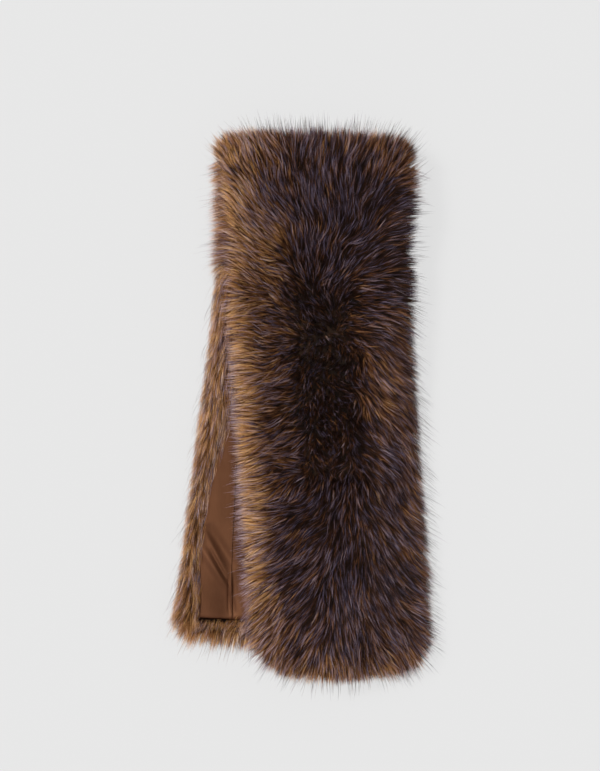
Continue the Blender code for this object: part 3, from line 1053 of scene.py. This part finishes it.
def make_locks(patch, area_share, kind):
    """Hairs of one kind on one patch: each lock draws its look, and each hair varies a little from it."""
    rng = np.random.default_rng(kind.seed)
    locks = max(int(kind.locks * area_share), 1)
    root, normal, stretch, _ = sample_roots(patch, locks, rng, kind.where)
    flow, lift, gold, violet = flow_at(root, normal, stretch)

    # Each lock turns a little, most where it stands upright, and has its own lift, gold and painted sheen.
    swirl = 0.35 * soft_noise(root, 0.020, kind.seed + 1) + 0.12 * soft_noise(root, 0.006, kind.seed + 2)
    swirl += rng.normal(0.0, 0.09, locks)
    swirl *= (1.0 + 3.5 * lift**2) * np.where(stretch == 2, 0.35, 1.0)
    turned = flow * np.cos(swirl)[:, None] + np.cross(normal, flow) * np.sin(swirl)[:, None]
    lift = lift + 0.12 * soft_noise(root, 0.010, kind.seed + 3) + rng.normal(0, 0.05, locks)
    lift = np.clip(lift, 0.0, 1.0)
    gold = gold + 0.16 * soft_noise(root, 0.014, kind.seed + 4) + rng.normal(0.0, GOLD_NOISE, locks)
    is_dark = rng.random(locks) < np.where(stretch == 2, DARK_SHARE_BACK, DARK_SHARE)
    gold = gold - (0.14 + 0.52 * gold) * is_dark
    violet = violet + 0.18 * soft_noise(root, 0.012, kind.seed + 5)
    # Locks whose tips get the painted violet-grey sheen.
    sheen_painted_lock = rng.random(locks) < violet * kind.violet

    # Upright hairs and those on the rims are shorter, and most of all those that hang over the back stretch.
    steep = 1.0 - np.abs(normal[:, 2])
    length = kind.length * (1.0 - 0.34 * lift) * (1.0 + 0.10 * soft_noise(root, 0.012, kind.seed + 6))
    length = length * (1.0 - kind.trim * steep)
    beside_back = (stretch == 0) & (root[:, 0] < -0.03) & (np.abs(root[:, 1] + 0.03) < 0.17)
    length = length * (1.0 - 0.28 * steep * beside_back)
    count = locks * kind.per_lock

    def each(values):
        return np.repeat(values, kind.per_lock, axis=0)

    # The lock's hairs start within a disc of the kind's spread, and each varies in lift, length and painted
    # sheen.
    sideways = np.cross(each(normal), each(turned))
    radius = (kind.spread * np.sqrt(rng.random(count)) * np.where(each(stretch) == 2, 1.8, 1.0))[:, None]
    angle = rng.uniform(0.0, 2.0 * math.pi, count)[:, None]
    offset = each(turned) * np.cos(angle) * radius + sideways * np.sin(angle) * radius
    start = each(root) + offset - each(normal) * 0.001
    hair_lift = np.clip(each(lift) + rng.normal(0.0, 0.06, count), 0.0, 1.0)
    hair_length = each(length) * rng.uniform(0.72, 1.12, count)
    hair_length *= 1.0 - each(steep) * rng.uniform(0.0, 0.25, count)
    sheen_painted = rng.random(count) < np.where(each(sheen_painted_lock), PAINTED_SHEEN_IN_LOCK, PAINTED_SHEEN_ELSEWHERE)
    hair_length = hair_length * (1.0 + 0.15 * sheen_painted)
    curl = rng.normal(0.0, 0.06, count)

    # Their tips gather, and they come to rest on what lies below.
    points, side = grow(start, each(normal), each(turned), hair_lift, hair_length, curl, kind.steps, rng)
    part = np.linspace(0.0, 1.0, kind.steps + 1)[None, :, None]
    gather = each(np.where(stretch == 2, GATHER_BACK, GATHER * (1.0 - 0.9 * steep)))[:, None, None]
    points = points - offset[:, None, :] * gather * part**1.3
    floor = np.where(each(stretch)[:, None] == 0, ground_under(points[..., 0], points[..., 1]), SURFACE_GAP)
    floor = floor + rng.uniform(0.0, 0.0012, count)[:, None]
    points[..., 2] = np.maximum(points[..., 2], floor * smoothstep(0.0, 0.3, part[..., 0]))
    points = kept_within(points)
    roll = rng.normal(0.0, 0.5, count)[:, None]
    side = side * np.cos(roll) + each(normal) * np.sin(roll)
    width = kind.width * rng.uniform(0.7, 1.3, count)
    hair_gold = each(gold) * kind.gold + rng.normal(0.0, 0.08, count) - kind.dark
    # How strong the painted violet-grey sheen at the hair's tip is.
    hair_painted_sheen = np.where(sheen_painted, rng.uniform(0.45, 1.0, count), 0.0)
    return Hairs(points, side, width, hair_gold, hair_painted_sheen)


# %% [markdown]
# ## Hair finish
#
# Guard hairs are dark at the root, partly their own colour and partly painted shade deep in the pile,
# brown to gold in the body, and some have a painted violet-grey sheen at the tip. So every hair has a place
# on a small chart of colours. Across the chart it goes from near black to golden brown, and up the chart it
# runs from root to tip, in four bands with ever more painted violet-grey sheen at the tip. The hair's map
# holds that place, so the colour is a formula of the map.

# %% Hair finish
BANDS = 4
BAND_MARGIN, BAND_RUN = 0.06, 0.88  # where the root lies in a band, and how much of the band a hair takes
TONE_SPREAD = 0.0022  # half a hair's width on the chart


def hair_finish():
    s = Sheet("fur_hairs")
    chart = s.add("ShaderNodeUVMap", {"uv_map": "OFBake"})
    tone = s.add("ShaderNodeSeparateXYZ", out="X", Vector=chart)
    up = s.add("ShaderNodeSeparateXYZ", out="Y", Vector=chart) * BANDS
    band = up.math("FLOOR") / (BANDS - 1.0)
    run = (up.math("FRACT") - BAND_MARGIN) / BAND_RUN
    body = tone.ramp(
        (0.00, (0.0140, 0.0050, 0.0030)),
        (0.22, (0.0620, 0.0220, 0.0095)),
        (0.45, (0.2200, 0.0850, 0.0320)),
        (0.70, (0.5100, 0.2350, 0.0800)),
        (1.00, (0.8500, 0.4900, 0.2000)),
    )
    # Dark roots are partly the hair's own colour and partly painted shade deep in the pile.
    root = tone.ramp(
        (0.00, (0.0050, 0.0022, 0.0015)),
        (0.50, (0.0650, 0.0240, 0.0095)),
        (1.00, (0.3000, 0.1250, 0.0460)),
    )
    # The violet-grey tip colour is a painted sheen.
    violet = tone.ramp(
        (0.00, (0.1900, 0.1500, 0.2400)),
        (0.50, (0.6000, 0.4600, 0.5500)),
        (1.00, (0.9000, 0.7500, 0.8000)),
    )
    colour = mix(s, run.smooth(0.0, 0.55), root, body)
    colour = mix(s, run.smooth(0.30, 0.85) * band, colour, violet)
    return s.principled(Base_Color=colour, Roughness=0.50, Specular_IOR_Level=0.15)


# %% Hairs as ribbons
def ribbon_mesh(name, hairs):
    """Each hair as a strip of quads closed by a triangle at its tip, with its place on the chart of colours.

    The half width at part p of the hair is half its width x (0.75 + 0.5 sin(2.2 p + 0.4) - 0.45 p).
    """
    count, knots = hairs.points.shape[:2]
    part = np.linspace(0.0, 1.0, knots)[:-1]
    taper = 0.75 + 0.5 * np.sin(part * 2.2 + 0.4) - 0.45 * part
    half = 0.5 * hairs.width[:, None] * taper[None, :]
    offset = hairs.side[:, None, :] * half[..., None]
    along = hairs.points[:, :-1]
    pairs = np.stack([along - offset, along + offset], 2).reshape(count, -1, 3)
    points = np.concatenate([pairs, hairs.points[:, -1:]], 1)
    per_hair = points.shape[1]
    base = (np.arange(count) * per_hair)[:, None]
    low = np.arange(knots - 2) * 2
    quads = (base[:, :, None] + np.stack([low, low + 2, low + 3, low + 1], -1)[None]).reshape(-1, 4)
    tips = base + np.array([per_hair - 3, per_hair - 1, per_hair - 2])
    mesh = mesh_from(name, points.reshape(-1, 3), [quads, tips])
    tone = np.clip(hairs.gold, 0.004, 0.996)[:, None]
    band = np.round(np.clip(hairs.violet, 0.0, 1.0) * (BANDS - 1))[:, None]
    run = np.concatenate([np.repeat(part, 2), [1.0]])[None, :]
    wide = TONE_SPREAD * np.concatenate([np.tile([-1.0, 1.0], knots - 1), [0.0]])[None, :]
    chart = np.stack([tone + wide, (band + BAND_MARGIN + BAND_RUN * run) / BANDS], -1)
    add_map(mesh, "OFBake", chart.reshape(-1, 2))
    return mesh


# %% [markdown]
# ## Grow the pile
#
# A pelt has two coats: short, dense underfur, and longer guard hairs over it. Loose wisps soften the outline,
# and a fringe, pale with painted violet-grey sheen, hangs over the lining from the front stretch's left rim.
# All hairs are joined into a few meshes, because hundreds of thousands of objects would be far too slow.

# %% Grow the pile
KINDS = {
    # locks, hairs per lock, length, spread, width, steps, seed, gold, violet, dark, and then trim and where
    "underfur_hairs": Kind(17000, 7, 0.0155, 0.0016, 0.00040, 1, 11, 0.82, 0.08, 0.02),
    "guard_hairs": Kind(40000, 5, 0.0235, 0.0010, 0.00021, 2, 41, 0.97, 0.45, 0.02),
    "wisps": Kind(2300, 1, 0.0330, 0.0001, 0.00019, 4, 71, 0.50, 0.50, 0.10, 0.0, "rims"),
    "fringe": Kind(1500, 2, 0.0250, 0.0010, 0.00020, 3, 91, 0.50, 2.20, 0.05, 0.0, "fringe"),
}
MOST_FACES = 195000


def pile_pieces():
    """The pile in pieces of under MOST_FACES triangles."""
    finish = hair_finish()
    pieces = []
    for label, kind in KINDS.items():
        sides = 1 if kind.where == "fringe" else 2  # the pile side, then the lined side
        batches = [
            make_locks(PATCHES[i], AREAS[i] / sum(AREAS), kind._replace(seed=kind.seed + 100 * i))
            for i in range(sides)
        ]
        hairs = Hairs(*[np.concatenate(parts) for parts in zip(*batches)])
        order = np.argsort(-hairs.points[:, 0, 1], kind="stable")
        triangles = 2 * kind.steps - 1
        groups = math.ceil(len(order) * triangles / MOST_FACES)
        for number, chosen in enumerate(np.array_split(order, groups)):
            part = Hairs(*[field[chosen] for field in hairs])
            name = f"{label}_{number + 1}"
            pieces.append(add_piece(name, ribbon_mesh(name, part), finish))
            print(name, len(chosen), "hairs,", len(chosen) * triangles, "triangles")
    return pieces


pile = pile_pieces()

# %% [markdown]
# ## Floor and light
#
# The wrap lies on a plain pale surface. The floor glows a little, so that it stays even and pale while two
# soft suns, from the upper left and from above, shade the pile.

# %% Floor
FLOOR_HALF = 4.0
FLOOR_TONE = 0.14
FLOOR_GLOW = 0.656


def make_floor():
    corners = FLOOR_HALF * np.array([[-1.0, -1.0, 0.0], [1.0, -1.0, 0.0], [1.0, 1.0, 0.0], [-1.0, 1.0, 0.0]])
    mesh = mesh_from("floor", corners, [np.array([[0, 1, 2, 3]])])
    s = Sheet("pale_floor")
    mesh.materials.append(s.principled(
        Base_Color=(FLOOR_TONE, FLOOR_TONE, FLOOR_TONE, 1.0), Roughness=0.9, Specular_IOR_Level=0.0,
        Emission_Color=(1.0, 1.0, 1.0, 1.0), Emission_Strength=FLOOR_GLOW,
    ))
    floor = bpy.data.objects.new("floor", mesh)
    bpy.context.scene.collection.objects.link(floor)
    floor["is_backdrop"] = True


# %% Suns and surroundings
HORIZON = (0.80, 0.80, 0.80)
OVERHEAD = (0.46, 0.46, 0.46)
OVERHEAD_FROM = 0.35  # height, as the sine of the angle above the horizon, from which it is all OVERHEAD


def add_sun(name, toward, strength, angle):
    """A sun lights the whole floor evenly. toward is the direction to it."""
    data = bpy.data.lights.new(name, "SUN")
    data.energy = strength
    data.angle = math.radians(angle)
    sun = bpy.data.objects.new(name, data)
    x, y, z = unit(np.array(toward))
    sun.rotation_euler = (math.acos(z), 0.0, math.atan2(x, -y))
    bpy.context.scene.collection.objects.link(sun)


def make_surroundings():
    """As pale as the floor at the horizon, and calmer overhead."""
    s = Sheet("studio", "worlds")
    toward = s.add("ShaderNodeTexCoord", out="Generated")
    height = s.add("ShaderNodeSeparateXYZ", out="Z", Vector=toward)
    sky = s.add("ShaderNodeBackground", Color=height.ramp((0.0, HORIZON), (OVERHEAD_FROM, OVERHEAD)))
    s.add("ShaderNodeOutputWorld", Surface=sky)
    bpy.context.scene.world = s.owner


make_floor()
make_surroundings()
add_sun("key", (-0.75, 0.40, 1.0), 1.60, 14.0)
add_sun("overhead", (-0.10, 0.12, 1.0), 0.60, 45.0)
bpy.context.scene.view_settings.view_transform = "Standard"
print("lights", [piece.name for piece in bpy.context.scene.objects if piece.type == "LIGHT"])

# %% [markdown]
# ## Sizes, and the end
#
# The finished model is measured again: it may pass the construction's box only by what loose hairs reach.

# %% Sizes, and the end
VISUAL_BOX = [list(corner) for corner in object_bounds()]
growth = [[round(v - c, 4) for v, c in zip(*pair)] for pair in zip(VISUAL_BOX, CAD_BOX)]
print("visual box beyond the CAD box", growth)
